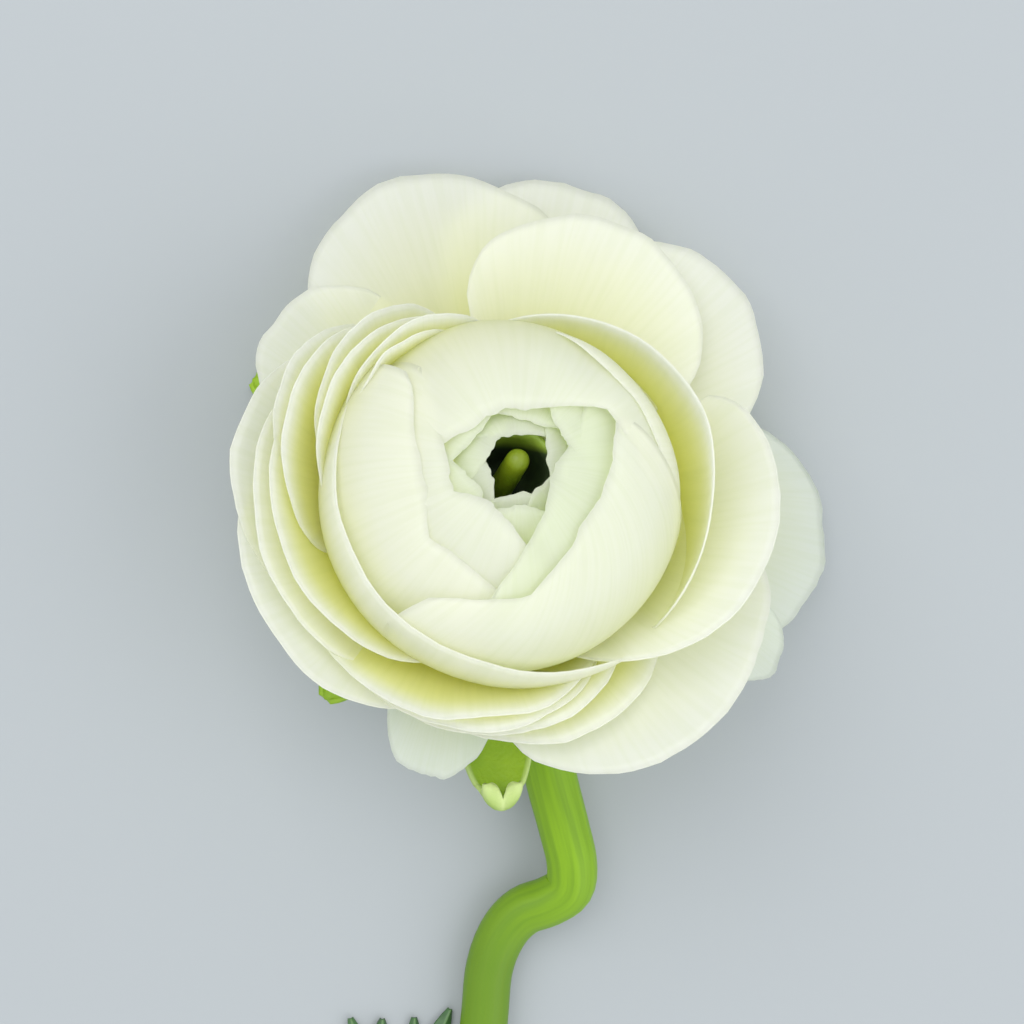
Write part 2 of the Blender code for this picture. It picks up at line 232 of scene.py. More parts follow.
# The small petals round the eye, outermost first.
HEART_PETALS = [
    Petal(-28, 75, (4.3, 26.5), belly=18.6, chords=((-30, 4.3),), trim=0.1, crumple=0.2, swirl=-1.3,
          tilt=-0.6),
    Petal(30, 50, (6.5, 25.6), belly=15.5, chords=((30, 6.5),), trim=0.12, crumple=0.2),
    *(Petal(azimuth, spread, (distance, top), belly=belly, chords=((azimuth, distance),),
            trim=0.1, crumple=0.2)
      for azimuth, spread, distance, top, belly in (
          (-150, 46, 4.7, 25.4, 13.5), (-90, 56, 4.6, 25.2, 13.0), (135, 58, 5.4, 25.0, 12.5),
          (-20, 58, 5.4, 25.0, 12.5), (75, 58, 5.4, 25.0, 12.5))),
    *(Petal(azimuth, 50, (distance, top), foot=(3.5, 10.0), belly=belly, chords=((azimuth, distance),),
            trim=0.05, crumple=0.1, ragged=0.25)
      for azimuth, distance, top, belly in (
          (3, 3.7, 25.3, 9.8), (90, 3.4, 25.2, 9.4), (145, 3.1, 25.2, 9.0), (-167, 2.8, 25.1, 8.6),
          (-83, 3.0, 25.0, 8.2), (-40, 3.6, 24.9, 7.8))),
]

# The stem's route from the neck to the cut end, with the thickness at each point as a share of the full
# one. Where it lies on the surface its height is its own radius.
STEM_RADIUS = 2.92
STEM_ROUTE = [
    ((0.0, -1.0, 8.4), 1.1),
    ((0.7, -3.4, 5.2), 1.1),
    ((2.4, -8.0, 3.5), 1.1),
    ((5.6, -19.0, 3.6), 1.1),
    ((8.6, -33.0, 4.7), 1.08),
    ((10.2, -39.5, 5.4), 1.06),
    ((11.2, -44.0, 5.6), 1.05),
    ((10.9, -47.2, 5.2), 1.05),
    ((8.6, -49.0, 4.4), 1.05),
    ((5.6, -50.3, 3.5), 1.05),
    ((3.2, -53.0, 3.0), 1.03),
    ((1.5, -57.5, 0), 1.0),
    ((0.8, -64.5, 0), 1.0),
    ((-0.8, -76.0, 0), 1.02),
    ((-2.6, -90.0, 0), 1.12),
    ((-2.4, -104.0, 0), 1.0),
    ((1.0, -122.0, 0), 1.0),
    ((5.0, -138.0, 0), 1.0),
]

STEM_SIDES = 48
STEM_STEP = 0.8
# The ribs along the stem: how many, their depth as a share of its thickness, and their turn at each step.
STEM_RIBS = 8
STEM_RIB = 0.010
STEM_RIB_TURN = 0.04
# Rings of the cut end, as (share of the thickness, distance past the end), and the depth of its hollow.
STEM_CUT = ((0.97, 0.12), (0.78, 0.15), (0.72, -0.1), (0.68, -2.5))
STEM_HOLLOW = 2.6
# Where along the stem's UV map its paler cut end starts.
PITH_START = 0.978

# Outlines round the bloom's axis, as (radius, height).
CORE_OUTLINE = [(3.0, 2.0), (10.0, 2.6), (14.0, 5.0), (15.6, 9.0), (15.4, 14.0), (13.6, 18.5), (10.5, 21.4),
                (7.0, 22.8), (5.6, 22.8), (5.2, 20.0), (4.6, 15.0), (2.6, 12.6)]
PIT_OUTLINE = [(2.2, 12.8), (4.1, 14.6), (4.8, 20.0), (5.1, 22.8), (4.8, 23.1), (4.4, 22.8), (4.2, 20.0),
               (3.6, 15.0), (2.0, 13.2)]
RECEPTACLE_OUTLINE = [(2.6, -3.4), (3.6, -2.8), (4.5, -1.6), (4.9, -0.4), (4.8, 0.8), (4.0, 1.8)]
OUTLINE_SIDES = 48
# How far beyond the seat, to +Y, the light in the pit starts and is full.
PIT_LIGHT = (8.6, 9.6)

PISTIL_RADIUS = 1.35
PISTIL_FLARE = 0.08
PISTIL_LENGTH = 10.5
PISTIL_SIDES = 32
PISTIL_STEPS = 8
PISTIL_FOOT = (-0.6, -0.9, 13.6)
PISTIL_LEAN = (-13, 8)

# Where along a rolled sepal its tip starts to roll, how much sooner it does so at its sides, how tightly
# it rolls, how deep its notch is, and where across it the lobes beside the notch stand.
ROLL_START = 0.84
ROLL_ROUNDING = 0.07
ROLL_RADIUS = 1.5
ROLL_NOTCH = 0.045
ROLL_LOBE = 0.45
# Where along a rolled sepal its sides have drawn in, and by what share.
WAIST = 0.83
WAIST_LOSS = 0.6
# Where a sepal starts, as (radius, height), and how far below the seat its tip is if it lies on the surface.
SEPAL_FOOT = (2.6, -0.9)
SEPAL_DROP = 11.05
SEPAL_WALL = 0.6 * MM
# Faces across and along a sepal.
SEPAL_FACES = (20, 48)


class Sepal:
    """A sepal that leaves the receptacle and reaches out to a tip, on the surface if no height is given.

    cup is how far its sides stand up and roll how far its tip rolls up and back, in degrees. A rolled tip
    stays broad and is notched in its middle.
    """

    def __init__(self, azimuth, reach, width, lean, height=None, cup=1.2, roll=0):
        turn = math.radians(azimuth)
        if height is None:
            height = (reach * math.sin(turn) * math.sin(BLOOM_LEAN) - SEPAL_DROP) / math.cos(BLOOM_LEAN)
        self.corners = opening_profile(SEPAL_FOOT, (reach, height), -4, lean, 0.4)
        self.turn = Matrix.Rotation(turn, 4, "Z")
        self.width = width
        self.lean = math.radians(lean)
        self.cup = cup
        self.roll = math.radians(roll)

    def point(self, u, v):
        """The point at u from -1 to 1 across the sepal and v from 0 to 1 along it."""
        if self.roll:
            share = v * (1 - ROLL_NOTCH * (abs(u) / ROLL_LOBE - 1) ** 2)
            full = ROLL_START
            start = full - ROLL_ROUNDING * (1 - math.sqrt(1 - 0.9 * u * u))
            narrowing = 1 - WAIST_LOSS * min(1.0, share / WAIST) ** 8
        else:
            share = v
            full = start = 1.0
            narrowing = (1 - 0.97 * share ** 3) ** 0.6
        radius, height = bezier(min(share, start) / full, self.corners)
        turned = self.roll * max(0.0, share - start) / max(1 - start, 0.01)
        radius += ROLL_RADIUS * (math.sin(self.lean + turned) - math.sin(self.lean))
        height += ROLL_RADIUS * (math.cos(self.lean) - math.cos(self.lean + turned))
        half = self.width / 2 * (0.7 + 0.55 * share) * narrowing
        height += self.cup * u * u * share * (1.6 - share)
        return self.turn @ Vector((radius, u * half, height))


SEPALS = [
    Sepal(147, 31.4, 9.0, -30),
    Sepal(10, 25.0, 9.5, -34),
    Sepal(75, 23.0, 9.5, -24),
    Sepal(228, 28.7, 9.0, -20, height=-5.5),
    Sepal(271, 33.9, 9.0, 12, height=-3.6, cup=1.6, roll=205),
]

# The leaf, on the surface: its stalk's foot, the fork of its three leaflets, their tips, and the start and
# tip of the long finger beside the stem.
LEAF_BASE = Vector((-6.3, -91.0))
LEAF_FORK = Vector((-9.6, -83.0))
LEAFLET_TIPS = [Vector((-7.4, -63.8)), Vector((-15.2, -63.6)), Vector((-27.0, -74.6))]
SIDE_FINGER = (Vector((-7.9, -72.9)), Vector((-3.0, -62.9)))
RIB_WIDTH = 4.4
TOOTH_WIDTH = 3.0
# Teeth of a leaflet: where they leave its rib, their slant off it in degrees, and how long they are.
TEETH = [(0.30, 34, 9.0), (0.38, -34, 9.0), (0.56, 34, 7.5), (0.58, -24, 9.0)]
# A finger's height over the surface at its edges, and how much higher its middle is.
LEAF_EDGE = 0.48
LEAF_RIDGE = 0.6
LEAF_WALL = 0.4 * MM
# Faces across and along a finger.
LEAF_FACES = (10, 36)


class Lobe:
    """One finger of the leaf, from start to tip, lying on the surface and lifted in its middle."""

    def __init__(self, start, tip, width, lift):
        self.start = start
        self.along = tip - start
        self.across = Vector((-self.along.y, self.along.x)).normalized()
        self.width = width
        self.lift = lift

    def point(self, u, v):
        """The point at u from -1 to 1 across the finger and v from 0 to 1 along it."""
        half = self.width / 2 * (0.5 + 1.1 * v) * (1 - 0.95 * v ** 2.4)
        half *= 1 + 0.10 * math.sin(26 * v + self.start.x) * (1 - v)
        flat = self.start + self.along * v + self.across * (half * u)
        return Vector((flat.x, flat.y, LEAF_EDGE + LEAF_RIDGE * (1 - abs(u)) + self.lift * v * (1 - v)))


def leaf_lobes():
    """The leaf's stalk, its three leaflets' ribs and their teeth."""
    lobes = [Lobe(LEAF_BASE, LEAF_FORK, RIB_WIDTH, 0.4), Lobe(*SIDE_FINGER, TOOTH_WIDTH, 1.2)]
    base = LEAF_BASE.lerp(LEAF_FORK, 0.7)
    for index, tip in enumerate(LEAFLET_TIPS):
        rib = Lobe(base, tip, RIB_WIDTH, 3.0 + index)
        lobes.append(rib)
        heading = math.atan2(rib.along.y, rib.along.x)
        for share, slant, length in TEETH:
            start = base + rib.along * share
            turn = heading + math.radians(slant)
            end = start + Vector((math.cos(turn), math.sin(turn))) * length
            lobes.append(Lobe(start, end, TOOTH_WIDTH, 1.2))
    return lobes


# ---------------------------------------------------------------------------------------------------
# Mesh helpers


def finish_piece(name, work, material, nodes):
    """Puts a bmesh in the scene as a smooth piece that rides on the flower and stands for CAD nodes."""
    mesh = bpy.data.meshes.new(name)
    work.to_mesh(mesh)
    work.free()
    mesh.shade_smooth()
    mesh.materials.append(material)
    piece = bpy.data.objects.new(name, mesh)
    bpy.context.scene.collection.objects.link(piece)
    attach(piece, BODY)
    for node in nodes:
        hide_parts(node)
    return piece


def add_wall(piece, thickness):
    """Gives the sheets of a piece their thickness, half of it on either side."""
    wall = piece.modifiers.new("wall", "SOLIDIFY")
    wall.thickness = thickness
    wall.offset = 0


def add_sheet(work, point, columns, rows, place):
    """Adds a sheet through point(u, v), u from -1 to 1 and v from 0 to 1, with its own UV map."""
    uv = work.loops.layers.uv.verify()
    grid = bmesh.ops.create_grid(work, x_segments=columns, y_segments=rows, size=1)
    shares = {vertex: (vertex.co.x, (vertex.co.y + 1) / 2) for vertex in grid["verts"]}
    for vertex, (u, v) in shares.items():
        vertex.co = place @ point(u, v) * MM
    for face in {face for vertex in grid["verts"] for face in vertex.link_faces}:
        for loop in face.loops:
            u, v = shares[loop.vert]
            loop[uv].uv = ((u + 1) / 2, v)


def smooth_route(stops, step):
    """Points about a step apart on a smooth curve through the stops, each a tuple of numbers."""
    points = []
    for index in range(len(stops) - 1):
        before = stops[max(index - 1, 0)]
        start, end = stops[index], stops[index + 1]
        after = stops[min(index + 2, len(stops) - 1)]
        pieces = max(1, round(math.dist(start[:3], end[:3]) / step))
        for piece in range(pieces):
            share = piece / pieces
            points.append([
                0.5 * (2 * b + (c - a) * share + (2 * a - 5 * b + 4 * c - d) * share ** 2
                       + (3 * b - a - 3 * c + d) * share ** 3)
                for a, b, c, d in zip(before, start, end, after)])
    points.append(list(stops[-1]))
    return points


def extrude_edges(work, ring):
    """Extrudes the edges of a ring of vertices, and gives the set of new vertices."""
    members = set(ring)
    edges = {edge for vertex in ring for edge in vertex.link_edges if edge.other_vert(vertex) in members}
    made = bmesh.ops.extrude_edge_only(work, edges=list(edges))["geom"]
    return {item for item in made if isinstance(item, bmesh.types.BMVert)}


def extrude_ring(work, ring, places):
    """Extrudes an ordered ring of vertices to these places, and gives the new ring in the same order."""
    fresh = extrude_edges(work, ring)
    follow = [next(edge.other_vert(vertex) for edge in vertex.link_edges if edge.other_vert(vertex) in fresh)
              for vertex in ring]
    for vertex, place in zip(follow, places):
        vertex.co = place
    return follow


def close_ring(work, ring, middle):
    """Closes a ring of vertices with a fan to its middle."""
    bmesh.ops.pointmerge(work, verts=list(extrude_edges(work, ring)), merge_co=middle)


def add_tube(work, rings, start=None, end=None):
    """Adds a tube through rings of places, all of one count, closed at the start and end points given."""
    uv = work.loops.layers.uv.verify()
    count = len(rings[0])
    first = bmesh.ops.create_circle(work, segments=count, radius=1)["verts"]
    ordered = sorted(first, key=lambda vertex: math.atan2(vertex.co.y, vertex.co.x) % math.tau)
    for vertex, place in zip(ordered, rings[0]):
        vertex.co = place
    shares = {vertex: (index / count, 0.0) for index, vertex in enumerate(ordered)}
    ring = ordered
    for step, places in enumerate(rings[1:], 1):
        ring = extrude_ring(work, ring, places)
        shares.update({vertex: (index / count, step / (len(rings) - 1)) for index, vertex in enumerate(ring)})
    for face in {face for vertex in shares for face in vertex.link_faces}:
        around = [shares[loop.vert][0] for loop in face.loops]
        for loop, share in zip(face.loops, around):
            wrap = 1.0 if max(around) - min(around) > 0.5 and share < 0.5 else 0.0
            loop[uv].uv = (share + wrap, shares[loop.vert][1])
    if start is not None:
        close_ring(work, ordered, start)
    if end is not None:
        close_ring(work, ring, end)


def turned_ring(radius, height, count, place):
    """A ring of places round an axis, moved by the matrix place."""
    return [place @ Vector((radius * math.cos(turn), radius * math.sin(turn), height)) * MM
            for turn in (math.tau * index / count for index in range(count))]


def make_turned(name, outline, sides, top, place, material, node):
    """A closed round piece through the outline's rings, closed on its axis at the height top."""
    work = bmesh.new()
    rings = [turned_ring(radius, height, sides, place) for radius, height in outline]
    add_tube(work, rings, place @ Vector((0, 0, outline[0][1])) * MM, place @ Vector((0, 0, top)) * MM)
    bmesh.ops.recalc_face_normals(work, faces=work.faces)
    finish_piece(name, work, material, [node])


# ---------------------------------------------------------------------------------------------------
# Materials


def new_material(name, roughness):
    """A material with its node tree and its shader."""
    material = bpy.data.materials.new(name)
    material.use_nodes = True
    shader = material.node_tree.nodes["Principled BSDF"]
    shader.inputs["Roughness"].default_value = roughness
    return material, material.node_tree, shader


def ramp_node(tree, source, stops):
    """A colour ramp over source, with stops of (position, colour)."""
    ramp = tree.nodes.new("ShaderNodeValToRGB")
    elements = ramp.color_ramp.elements
    while len(elements) < len(stops):
        elements.new(0.5)
    for element, (position, colour) in zip(elements, stops):
        element.position = position
        element.color = (*colour, 1)
    tree.links.new(source, ramp.inputs["Fac"])
    return ramp


def bump_node(tree, shader, height, distance, strength=1.0):
    """Raises the surface by height, up to distance in metres."""
    bump = tree.nodes.new("ShaderNodeBump")
    bump.inputs["Distance"].default_value = distance
    bump.inputs["Strength"].default_value = strength
    tree.links.new(height, bump.inputs["Height"])
    tree.links.new(bump.outputs["Normal"], shader.inputs["Normal"])


def uv_axes(tree):
    """The outputs of the piece's own UV map: X goes across or round it, and Y along it."""
    uv = tree.nodes.new("ShaderNodeUVMap")
    axes = tree.nodes.new("ShaderNodeSeparateXYZ")
    tree.links.new(uv.outputs["UV"], axes.inputs["Vector"])
    return axes.outputs


def noise_node(tree, scale, detail, stretch=None):
    """Noise on Object coordinates, or on the UV map stretched by (across, along)."""
    pattern = tree.nodes.new("ShaderNodeTexNoise")
    pattern.inputs["Scale"].default_value = scale
    pattern.inputs["Detail"].default_value = detail
    if stretch:
        uv = tree.nodes.new("ShaderNodeUVMap")
        mapping = tree.nodes.new("ShaderNodeMapping")
        mapping.inputs["Scale"].default_value = (*stretch, 1)
        tree.links.new(uv.outputs["UV"], mapping.inputs["Vector"])
        tree.links.new(mapping.outputs["Vector"], pattern.inputs["Vector"])
    else:
        place = tree.nodes.new("ShaderNodeTexCoord")
        tree.links.new(place.outputs["Object"], pattern.inputs["Vector"])
    return pattern.outputs["Fac"]


def mix_node(tree, share, first, second):
    """The socket first, or a plain colour, turning into second by the socket share."""
    mix = tree.nodes.new("ShaderNodeMix")
    mix.data_type = "RGBA"
    tree.links.new(share, mix.inputs["Factor"])
    for name, colour in (("A", first), ("B", second)):
        if isinstance(colour, bpy.types.NodeSocket):
            tree.links.new(colour, mix.inputs[name])
        else:
            mix.inputs[name].default_value = (*colour, 1)
    return mix.outputs["Result"]


def petal_material(name, base, middle, rim, places, glow):
    """Petal tissue with fine veins, lit through by glow, in three colours at these places along it."""
    material, tree, shader = new_material(name, 0.5)
    plain = ramp_node(tree, uv_axes(tree)["Y"], list(zip(places, (base, middle, rim))))
    veins = noise_node(tree, 1.0, 3.0, (60, 2.5))
    bump_node(tree, shader, veins, 0.12 * MM, 0.6)
    shade = ramp_node(tree, veins, [(0.36, (0.972, 0.978, 0.95)), (0.56, (1, 1, 1))])
    colour = tree.nodes.new("ShaderNodeMix")
    colour.data_type = "RGBA"
    colour.blend_type = "MULTIPLY"
    colour.inputs["Factor"].default_value = 1.0
    tree.links.new(plain.outputs["Color"], colour.inputs["A"])
    tree.links.new(shade.outputs["Color"], colour.inputs["B"])
    tree.links.new(colour.outputs["Result"], shader.inputs["Base Color"])
    through = tree.nodes.new("ShaderNodeBsdfTranslucent")
    tree.links.new(colour.outputs["Result"], through.inputs["Color"])
    mix = tree.nodes.new("ShaderNodeMixShader")
    mix.inputs["Fac"].default_value = glow
    tree.links.new(shader.outputs["BSDF"], mix.inputs[1])
    tree.links.new(through.outputs["BSDF"], mix.inputs[2])
    tree.links.new(mix.outputs["Shader"], tree.nodes["Material Output"].inputs["Surface"])
    return material


def green_material(name, colour, dark, roughness, scale, relief):
    """Green tissue: two greens mixed by noise, with fine relief."""
    material, tree, shader = new_material(name, roughness)
    shader.inputs["Specular IOR Level"].default_value = 0.25
    mottle = noise_node(tree, scale, 4.0)
    blend = ramp_node(tree, mottle, [(0.35, dark), (0.65, colour)])
    tree.links.new(blend.outputs["Color"], shader.inputs["Base Color"])
    bump_node(tree, shader, noise_node(tree, scale * 12, 2.0), relief)
    return material


def sepal_material(name, colour, dark):
    """A sepal's green, with the relief of its fine hairs."""
    return green_material(name, colour, dark, 0.55, 160, 0.12 * MM)


def tip_material(colour, dark, tip):
    """The green of a sepal with a pale rolled tip and pale margins."""
    material = sepal_material("sepal_tip", colour, dark)
    tree = material.node_tree
    shader = tree.nodes["Principled BSDF"]
    green = shader.inputs["Base Color"].links[0].from_socket
    axes = uv_axes(tree)
    share = ramp_node(tree, axes["Y"], [(0.88, (0, 0, 0)), (0.98, (1, 1, 1))])
    pale = (0.6, 0.6, 0.6)
    margin = ramp_node(tree, axes["X"], [(0.0, pale), (0.07, (0, 0, 0)), (0.93, (0, 0, 0)), (1.0, pale)])
    most = tree.nodes.new("ShaderNodeMath")
    most.operation = "MAXIMUM"
    tree.links.new(share.outputs["Color"], most.inputs[0])
    tree.links.new(margin.outputs["Color"], most.inputs[1])
    tree.links.new(mix_node(tree, most.outputs["Value"], green, tip), shader.inputs["Base Color"])
    return material


def pit_shade_material(lip, deep):
    """The pit round the pistil, in painted light and shade: green along the far side of its lip as painted
    light, and nearly black painted shade in the rest.
    """
    material, tree, shader = new_material("pit_shade", 0.6)
    # Painted shade: the pit turns from the lip's colour to nearly black deeper in.
    blend = ramp_node(tree, uv_axes(tree)["Y"], [(0.76, lip), (0.90, deep)])
    place = tree.nodes.new("ShaderNodeTexCoord")
    spot = tree.nodes.new("ShaderNodeSeparateXYZ")
    tree.links.new(place.outputs["Object"], spot.inputs["Vector"])
    # Painted light: only the pit's far side, to +Y, keeps the lit lip colour, and the near side is all
    # painted shade.
    far = tree.nodes.new("ShaderNodeMapRange")
    far.inputs["From Min"].default_value = (SEAT.y + PIT_LIGHT[0]) * MM
    far.inputs["From Max"].default_value = (SEAT.y + PIT_LIGHT[1]) * MM
    tree.links.new(spot.outputs["Y"], far.inputs["Value"])
    colour = mix_node(tree, far.outputs["Result"], deep, blend.outputs["Color"])
    tree.links.new(colour, shader.inputs["Base Color"])
    return material


def stem_material(colour, low, dark, pith):
    """The stem's satin green skin, with painted shade that makes it deeper green low down, and with fine
    streaks and paler pith at its cut end.
    """
    material, tree, shader = new_material("stem", 0.45)
    shader.inputs["Specular IOR Level"].default_value = 0.15
    streaks = noise_node(tree, 1.5, 4.0, (16, 6))
    bump_node(tree, shader, streaks, 0.06 * MM)
    along = uv_axes(tree)["Y"]
    # Painted shade: past about a third of its length, along its UV map, the stem is painted a darker green.
    skin = ramp_node(tree, along, [(0.30, colour), (0.42, low)])
    streak = ramp_node(tree, streaks, [(0.30, (0.6, 0.6, 0.6)), (0.62, (0, 0, 0))])
    streaked = mix_node(tree, streak.outputs["Color"], skin.outputs["Color"], dark)
    end = tree.nodes.new("ShaderNodeMath")
    end.operation = "GREATER_THAN"
    end.inputs[1].default_value = PITH_START
    tree.links.new(along, end.inputs[0])
    tree.links.new(mix_node(tree, end.outputs["Value"], streaked, pith), shader.inputs["Base Color"])
    return material


def leaf_material(colour, dark, vein):
    """The leaf's dark matt green, with a paler rib along each finger."""
    material, tree, shader = new_material("leaf", 0.5)
    offset = tree.nodes.new("ShaderNodeMath")
    offset.operation = "SUBTRACT"
    offset.inputs[1].default_value = 0.5
    tree.links.new(uv_axes(tree)["X"], offset.inputs[0])
    away = tree.nodes.new("ShaderNodeMath")
    away.operation = "ABSOLUTE"
    tree.links.new(offset.outputs["Value"], away.inputs[0])
    mottle = noise_node(tree, 400, 2.0)
    green = ramp_node(tree, mottle, [(0.35, dark), (0.65, colour)])
    rib = ramp_node(tree, away.outputs["Value"], [(0.02, (1, 1, 1)), (0.07, (0, 0, 0))])
    ribbed = mix_node(tree, rib.outputs["Color"], green.outputs["Color"], vein)
    tree.links.new(ribbed, shader.inputs["Base Color"])
    bump_node(tree, shader, mottle, 0.15 * MM)
    return material


# ---------------------------------------------------------------------------------------------------
# Settings


def colour_setting(name, description, default):
    """A colour that a user can change."""
    return bpy.props.FloatVectorProperty(
        name=name, description=description, subtype="COLOR", min=0, max=1, default=default)


class RanunculusPetalSettings(bpy.types.PropertyGroup):
    """The petals' wall, fineness and colours."""
    wall: bpy.props.FloatProperty(
        name="Wall", description="Thickness of a petal", unit="LENGTH", default=0.0002)
    columns: bpy.props.IntProperty(
        name="Columns", description="Faces across a petal", default=36, min=8)
    rows: bpy.props.IntProperty(
        name="Rows", description="Faces along a petal", default=30, min=8)
    base: colour_setting("Base", "Colour at a petal's base", (0.91, 0.905, 0.20))
    middle: colour_setting("Middle", "Colour half way along a petal", (0.95, 0.955, 0.70))
    rim: colour_setting("Rim", "Colour at a petal's rim", (0.965, 0.97, 0.88))
    open_base: colour_setting("Open base", "Colour at the base of an open petal", (0.92, 0.92, 0.42))
    open_middle: colour_setting("Open middle", "Colour half way along an open petal", (0.95, 0.955, 0.74))
    # Painted shade: the fallen petals' colours are darker, greyer copies of the other petals' colours, as
    # they lie low in shade.
    fallen_shaded_base: colour_setting("Fallen base", "Colour at the base of a fallen petal", (0.86, 0.88, 0.46))
    fallen_shaded_middle: colour_setting("Fallen middle", "Colour half way along a fallen petal", (0.89, 0.92, 0.72))
    fallen_shaded_rim: colour_setting("Fallen rim", "Colour at a fallen petal's rim", (0.90, 0.935, 0.85))
    # Partly the petals' own yellow base and partly painted shade: deep between the cupped petals these
    # colours stand for the shaded gaps, yellow with light through the petals.
    cup_base_and_gap_shade: colour_setting("Cup base", "Colour deep between the cupped petals", (0.945, 0.94, 0.24))
    cup_middle_and_gap_shade: colour_setting("Cup middle", "Colour half way along the cupped petals", (0.955, 0.955, 0.57))
    heart_base: colour_setting("Heart base", "Colour at the foot of the heart's petals", (0.73, 0.82, 0.34))
    heart_middle: colour_setting("Heart middle", "Colour of the heart's petals", (0.87, 0.92, 0.65))
    heart_rim: colour_setting("Heart rim", "Colour at the rims of the heart's petals", (0.92, 0.95, 0.80))
    glow: bpy.props.FloatProperty(
        name="Glow", description="Share of the light that goes through a petal", subtype="FACTOR",
        default=0.62, min=0, max=1)


class RanunculusGreenSettings(bpy.types.PropertyGroup):
    """The colours of the stem, the sepals, the leaf and the eye."""
    stem: colour_setting("Stem", "Colour of the stem", (0.185, 0.375, 0.006))
    # Painted shade: the darker green of the stem's lower part stands for shade.
    stem_low_shade: colour_setting("Stem, low", "Colour of the stem's lower part", (0.095, 0.20, 0.006))
    stem_dark: colour_setting("Stem, dark", "Darker colour in the stem", (0.085, 0.20, 0.006))
    sepal: colour_setting("Sepal", "Colour of the sepals", (0.26, 0.445, 0.012))
    sepal_dark: colour_setting("Sepal, dark", "Darker colour in the sepals", (0.18, 0.335, 0.010))
    sepal_tip: colour_setting("Sepal tip", "Colour at a rolled sepal's tip", (0.53, 0.68, 0.21))
    leaf: colour_setting("Leaf", "Colour of the leaf", (0.035, 0.115, 0.022))
    leaf_dark: colour_setting("Leaf, dark", "Darker colour in the leaf", (0.018, 0.065, 0.012))
    leaf_vein: colour_setting("Leaf vein", "Colour of the leaf's ribs", (0.07, 0.17, 0.04))
    pistil: colour_setting("Pistil", "Colour of the pistil", (0.155, 0.215, 0.006))
    pistil_dark: colour_setting("Pistil, dark", "Darker colour in the pistil", (0.12, 0.19, 0.006))
    # Painted shade: a nearly black colour for the shade inside the pit round the pistil.
    pit_shade: colour_setting("Pit", "Colour of the pit round the pistil", (0.012, 0.024, 0.004))
    # Painted light: the green of the pit's lip where light falls on its far side.
    pit_lit_lip: colour_setting("Pit lip", "Colour at the lip of the pit", (0.22, 0.34, 0.02))
    pith: colour_setting("Pith", "Colour of the stem's cut end", (0.50, 0.58, 0.26))


class RanunculusStageSettings(bpy.types.PropertyGroup):
    """The floor's colour and the camera."""
    floor: colour_setting("Floor", "Colour of the floor", (0.358, 0.388, 0.404))
    distance: bpy.props.FloatProperty(
        name="Distance", description="Camera's distance from the bloom", unit="LENGTH", default=0.423)
    lens: bpy.props.FloatProperty(
        name="Lens", description="Camera's focal length in millimetres", default=135)


# ---------------------------------------------------------------------------------------------------
# Operators

# The soft lamps, as (name, place from the eye and size in metres, power in watts).
LAMPS = (
    ("key", (-0.35, 0.45, 0.75), 0.7, 4.1),
    ("fill", (0.55, -0.25, 0.60), 0.8, 2.5),
)
SKY_COLOUR = (0.92, 0.96, 1.0)
SKY_STRENGTH = 0.93
FLOOR_REACH = 3
# The way from the flower to the camera, and how far left of the eye and below it the camera aims.
VIEW_FROM = (-0.14, 0.13, 0.98)
AIM_LEFT = 0.66
AIM_DOWN = 5.5
LIGHT_BOUNCES = 16


class RANUNCULUS_OT_stage(bpy.types.Operator):
    """Makes the floor, the studio light and the camera"""
    bl_idname = "ranunculus.stage"
    bl_label = "Stage"

    def execute(self, context):
        settings = context.scene.ranunculus_stage
        work = bmesh.new()
        bmesh.ops.create_grid(work, x_segments=1, y_segments=1, size=FLOOR_REACH)
        mesh = bpy.data.meshes.new("floor")
        work.to_mesh(mesh)
        work.free()
        floor = bpy.data.objects.new("floor", mesh)
        context.scene.collection.objects.link(floor)
        material, _, shader = new_material("floor", 0.9)
        shader.inputs["Base Color"].default_value = (*settings.floor, 1)
        mesh.materials.append(material)

        world = bpy.data.worlds.new("studio")
        world.use_nodes = True
        sky = world.node_tree.nodes["Background"]
        sky.inputs["Color"].default_value = (*SKY_COLOUR, 1)
        sky.inputs["Strength"].default_value = SKY_STRENGTH
        context.scene.world = world

        eye = BLOOM @ Vector((0, 0, EYE_HEIGHT)) * MM
        for name, offset, size, power in LAMPS:
            lamp = bpy.data.lights.new(name, "AREA")
            lamp.size = size
            lamp.energy = power
            light = bpy.data.objects.new(name, lamp)
            light.location = eye + Vector(offset)
            light.rotation_euler = (-Vector(offset)).to_track_quat("-Z", "Y").to_euler()
            context.scene.collection.objects.link(light)

        back = Vector(VIEW_FROM).normalized()
        right = Vector((0, 1, 0)).cross(back).normalized()
        up = back.cross(right)
        camera = bpy.data.objects.new("camera", bpy.data.cameras.new("camera"))
        camera.data.lens = settings.lens
        camera.data.sensor_width = 36
        camera.data.clip_start = 0.01
        target = eye - right * AIM_LEFT * MM - up * AIM_DOWN * MM
        turn = Matrix((right, up, back)).transposed().to_4x4()
        camera.matrix_world = Matrix.Translation(target + back * settings.distance) @ turn
        context.scene.collection.objects.link(camera)
        context.scene.camera = camera
        context.scene.view_settings.view_transform = "Standard"
        context.scene.view_settings.gamma = 1.25
        context.scene.cycles.max_bounces = 24
        context.scene.cycles.diffuse_bounces = LIGHT_BOUNCES
        context.scene.cycles.transmission_bounces = LIGHT_BOUNCES
        return {"FINISHED"}


